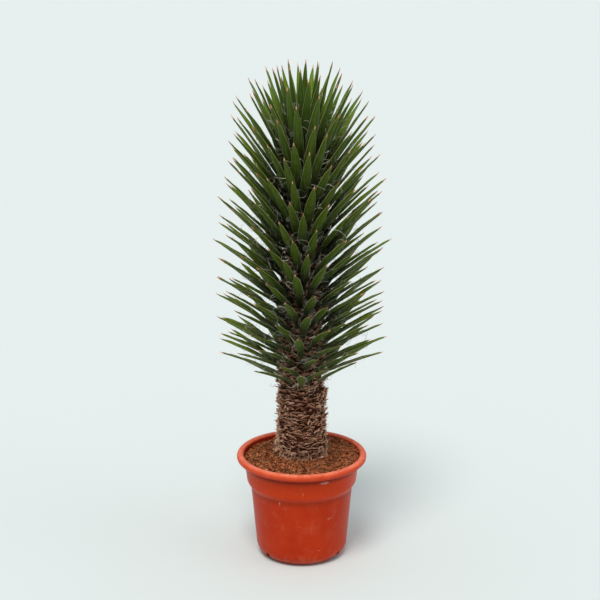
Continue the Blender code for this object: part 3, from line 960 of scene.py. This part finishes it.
def leaf_plan():
    """Every leaf from the foot of the head up, with the same draws as the solids."""
    draw = random.Random(SEED)
    heights, elevations, lengths, widths = zip(*LEAF_STATIONS)
    plan = []
    for i in range(LEAF_COUNT):
        share = i / (LEAF_COUNT - 1)
        height = LEAF_FIRST + (LEAF_LAST - LEAF_FIRST) * (1 - (1 - share)**LEAF_CROWDING)
        calm = float(np.interp(height, *zip(CALM_FROM, CALM_TO)))
        plan.append({
            "height": height,
            "turn": i * GOLDEN_ANGLE + math.radians(draw.uniform(-TURN_SCATTER, TURN_SCATTER)) * calm,
            "elevation": math.radians(np.interp(height, heights, elevations)
                                      + draw.uniform(-RISE_SCATTER, RISE_SCATTER) * calm),
            "droop": math.radians(np.interp(share, (0, 1), (DROOP_AT_FOOT, DROOP_AT_TOP))),
            "length": float(np.interp(height, heights, lengths)) * scattered(draw, LENGTH_SCATTER),
            "width": float(np.interp(height, heights, widths)) * scattered(draw, WIDTH_SCATTER),
            "roll": math.radians(draw.uniform(-ROLL_SCATTER, ROLL_SCATTER)) * calm,
        })
    return plan


def blade_line(leaf, shares):
    """The midrib at these shares of the length (outwards, upwards), and its slope there."""
    start = leaf["elevation"] + leaf["droop"] / 2
    fine = np.linspace(min(shares), 1, 200)
    slope = start - leaf["droop"] * fine
    step = leaf["length"] * (fine[1] - fine[0])
    outwards = np.concatenate([[0], np.cumsum(np.cos(slope[:-1]) * step)])
    upwards = np.concatenate([[0], np.cumsum(np.sin(slope[:-1]) * step)])
    outwards -= np.interp(0, fine, outwards)
    upwards -= np.interp(0, fine, upwards)
    slope = start - leaf["droop"] * shares
    return np.interp(shares, fine, outwards), np.interp(shares, fine, upwards), slope


def leaf_form(leaf, draw):
    """Rings of a channelled blade in place, and the directions across and out of it at each."""
    shares, spread, thick, channel = (np.array(column) for column in zip(*BLADE_STATIONS))
    outwards, upwards, slope = blade_line(leaf, shares)
    sway = BLADE_SWAY * draw.uniform(-1, 1) * leaf["length"] * np.clip(shares, 0, 1)**2
    roll = leaf["roll"] * np.clip(shares, 0, 1)
    zero = np.zeros_like(slope)
    face = np.stack([-np.sin(slope), zero, np.cos(slope)], -1)
    side = np.stack([zero, zero + 1, zero], -1)
    across = side * np.cos(roll)[:, None] + face * np.sin(roll)[:, None]
    face = face * np.cos(roll)[:, None] - side * np.sin(roll)[:, None]
    middle = np.stack([outwards, sway, upwards], -1)
    t = np.linspace(-1, 1, BLADE_ACROSS)
    half = (leaf["width"] * spread / 2)[:, None]
    wave = BLADE_WAVE * np.sin(shares * BLADE_WAVES + draw.uniform(0, 6))[:, None]
    wave = wave * np.sign(t) * np.abs(t)**3
    upper = (channel * leaf["width"] * spread)[:, None] * np.abs(t)**1.5 + wave
    depth = np.minimum(thick[:, None], half * 1.1) * (1 - t**2)**0.75 + np.minimum(BLADE_EDGE, half * 0.4)
    width_line = middle[:, None] + across[:, None] * (half * t)[..., None]
    top = width_line + face[:, None] * upper[..., None]
    bottom = width_line + face[:, None] * (upper - depth)[..., None]
    rings = np.concatenate([top, bottom[:, ::-1]], 1)
    seat = girth(CORE_GIRTH, leaf["height"]) * BLADE_SETBACK
    spin = np.array(Matrix.Rotation(leaf["turn"] - math.pi / 2, 3, "Z"))
    place = np.array([seat, 0, leaf["height"]])
    return (rings + place) @ spin.T, across @ spin.T, face @ spin.T


def make_leaves():
    """Every leaf as a fine blade, in three pieces up the stem, and the threads along their margins."""
    finish = leaf_finish()
    draw = random.Random(BLADE_SEED)
    t = np.linspace(-1, 1, BLADE_ACROSS)
    shares = np.array([station[0] for station in BLADE_STATIONS])
    ring = 2 * BLADE_ACROSS
    marks = {
        "along": np.append(np.repeat(shares, ring), 1.0),
        "across": np.append(np.tile([*t, *t[::-1]], len(shares)), 0.0),
        "under": np.append(np.tile([0.0] * BLADE_ACROSS + [1.0] * BLADE_ACROSS, len(shares)), 0.5),
    }
    faces = ring_faces(len(shares), ring)
    # The blade ends in a point instead of the last flat cap
    faces.pop()
    point = len(shares) * ring
    faces += [(point - ring + j, point - ring + (j + 1) % ring, point) for j in range(ring)]
    heaps = {"leaves_low": Heap(), "leaves_middle": Heap(), "leaves_high": Heap()}
    threads = Heap()
    for index, leaf in enumerate(leaf_plan()):
        rings, across, face = leaf_form(leaf, draw)
        before, end = rings[-2].mean(0), rings[-1].mean(0)
        tip = end + unit(end - before) * leaf["length"] * (1 - shares[-1])
        points = np.vstack([rings.reshape(-1, 3), tip])
        name = list(heaps)[index * len(heaps) // LEAF_COUNT]
        heaps[name].add(points, faces, tone=draw.random(), **marks)
        add_threads(threads, draw, rings, across, face)
    for name, heap in heaps.items():
        piece = heap.make(name, finish)
        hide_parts("leaf_head")
    dry = thread_finish("leaf_thread", (0.18, 0.172, 0.120), (1.0, 0.98, 0.86))
    threads.make("leaf_threads", dry)


def add_threads(heap, draw, rings, across, face):
    """Fine curls that peel from a blade's margins."""
    counts, lengths, bends, radii = LEAF_THREADS
    for _ in range(draw.randint(*counts)):
        at = draw.randint(1, 10)
        side = draw.choice((0, BLADE_ACROSS - 1))
        away = across[at] * (-1 if side == 0 else 1)
        start = rings[at, side]
        along = unit(rings[at + 1, side] - rings[at, side])
        heading = along * draw.choice((-0.6, 1.0, 1.0)) + away * draw.uniform(0.2, 0.9)
        axis = unit(face[at] * draw.choice((-1, 1)) + across[at] * draw.uniform(-1.1, 1.1)
                    + along * draw.uniform(-0.9, 0.9))
        length = draw.uniform(*lengths)
        path = curl(start, heading, axis, draw.uniform(*bends), length, 11,
                    rise=draw.uniform(-0.012, 0.012), tighten=draw.uniform(-0.5, 0.9))
        points, faces = tube(path, draw.uniform(*radii) * np.linspace(1.1, 0.5, len(path)), axis)
        heap.add(points, faces, tone=draw.random()**1.3)


def crown_curls():
    """Thin torn strips that curl out between the lower leaves."""
    seed, count, lengths, bends, radii = CROWN_CURLS
    draw = random.Random(seed)
    heap = Heap()
    for _ in range(count):
        height = draw.uniform(STEM_TOP, CURLS_END)
        out = spoke(draw.uniform(0, math.tau))
        around = np.cross(UP, out)
        start = out * (girth(CORE_GIRTH, height) + draw.uniform(0.003, 0.016)) + UP * height
        heading = (around * draw.choice((-1, 1)) + out * draw.uniform(0, 0.8)
                   + UP * draw.uniform(-0.4, 0.8))
        axis = unit(UP * draw.uniform(-1, 1) + out * draw.uniform(-1, 1)
                    + around * draw.uniform(-0.6, 0.6))
        path = curl(start, heading, axis, draw.uniform(*bends), draw.uniform(*lengths), 7,
                    tighten=draw.uniform(-0.3, 0.6))
        points, faces = tube(path, draw.uniform(*radii) * np.array(STRAND_TAPER), axis)
        heap.add(points, faces, tone=draw.random()**1.4)
    return heap.make("crown_curls", thread_finish("crown_curl", (0.10, 0.050, 0.028), (1.0, 0.72, 0.55)))


def make_crown_core():
    """The stem under the leaves, papery wings about the leaves' bases, and torn strips between them."""
    finish = sheath_finish()
    core = rough_post("crown_wood", CORE_GIRTH, CORE_FOOT, CORE_TOP, finish, CORE_INSET, 96, 200)
    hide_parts("leaf_head")
    draw = random.Random(SHEATH_SEED)
    widths, heights, reaches, thicknesses = SHEATH_SIZES
    heap = Heap()
    for leaf in leaf_plan():
        if leaf["height"] > SHEATHS_END:
            continue
        low_down = float(np.interp(leaf["height"], SHEATHS_SHRINK, (1.0, 0.0)))
        for _ in range(4 if low_down > 0.5 else 2):
            height = leaf["height"] + draw.uniform(-0.012, 0.006)
            points, faces, tips = scale_form(
                draw,
                leaf["width"] * draw.uniform(*widths),
                draw.uniform(*heights),
                draw.uniform(*reaches) + draw.uniform(*LOW_EXTRA_REACHES) * low_down,
                draw.uniform(*thicknesses),
                girth(CORE_GIRTH, height),
                height,
                leaf["turn"] - math.pi / 2 + draw.uniform(-0.5, 0.5),
            )
            heap.add(points, faces, tip=tips, tone=draw.random())
    heap.make("leaf_sheaths", finish)
    crown_curls()


def make_stage():
    """The pale floor."""
    bpy.ops.mesh.primitive_plane_add(size=FLOOR_WIDTH)
    floor = bpy.context.active_object
    floor.name = "floor"
    floor.data.materials.append(floor_finish())


def make_camera():
    """The photograph's view."""
    camera = bpy.data.cameras.new("camera")
    camera.sensor_width = 36
    camera.lens = camera.sensor_width * CAMERA_FOCAL
    holder = bpy.data.objects.new("camera", camera)
    holder.location = CAMERA_PLACE
    holder.rotation_euler = (math.radians(90 - CAMERA_PITCH), 0, 0)
    bpy.context.scene.collection.objects.link(holder)
    bpy.context.scene.camera = holder


def add_sun(name, elevation, turn, strength, spread, colour=(1.0, 1.0, 1.0)):
    """A broad distant light, with its angles in degrees: turn 0 is the camera's side and 90 its right."""
    light = bpy.data.lights.new(name, "SUN")
    light.energy = strength
    light.color = colour
    light.angle = math.radians(spread)
    holder = bpy.data.objects.new(name, light)
    holder.rotation_euler = (math.radians(90 - elevation), 0, math.radians(turn))
    bpy.context.scene.collection.objects.link(holder)


def make_light():
    """A dome, brightest overhead, a warm light from high in front, and a weak one from the right."""
    world = bpy.data.worlds.new("studio")
    world.use_nodes = True
    tree = world.node_tree
    sky = tree.nodes["Background"]
    sky.inputs["Color"].default_value = (1.0, 1.0, 0.98, 1)
    where = tree.nodes.new("ShaderNodeTexCoord")
    split = tree.nodes.new("ShaderNodeSeparateXYZ")
    rise = tree.nodes.new("ShaderNodeMapRange")
    rise.inputs["From Min"].default_value = 0.0
    rise.inputs["From Max"].default_value = DOME_FULL_FROM
    rise.inputs["To Min"].default_value = DOME_AT_HORIZON
    rise.inputs["To Max"].default_value = DOME_OVERHEAD
    tree.links.new(where.outputs["Generated"], split.inputs[0])
    tree.links.new(split.outputs["Z"], rise.inputs["Value"])
    tree.links.new(rise.outputs["Result"], sky.inputs["Strength"])
    bpy.context.scene.world = world
    add_sun("key", elevation=62, turn=-16, strength=1.72, spread=22, colour=(1.0, 0.97, 0.88))
    add_sun("side", elevation=30, turn=70, strength=0.22, spread=40)
    bpy.context.scene.view_settings.view_transform = "Standard"


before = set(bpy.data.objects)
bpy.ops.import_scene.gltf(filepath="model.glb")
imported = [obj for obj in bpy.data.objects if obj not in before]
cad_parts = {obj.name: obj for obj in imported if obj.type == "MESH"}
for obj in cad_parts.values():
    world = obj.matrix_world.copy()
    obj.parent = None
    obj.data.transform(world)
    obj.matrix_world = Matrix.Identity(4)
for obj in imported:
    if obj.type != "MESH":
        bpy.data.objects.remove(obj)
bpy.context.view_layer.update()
make_camera()
make_stage()
make_light()
make_pot()
make_soil()
make_stem()
make_crown_core()
make_leaves()
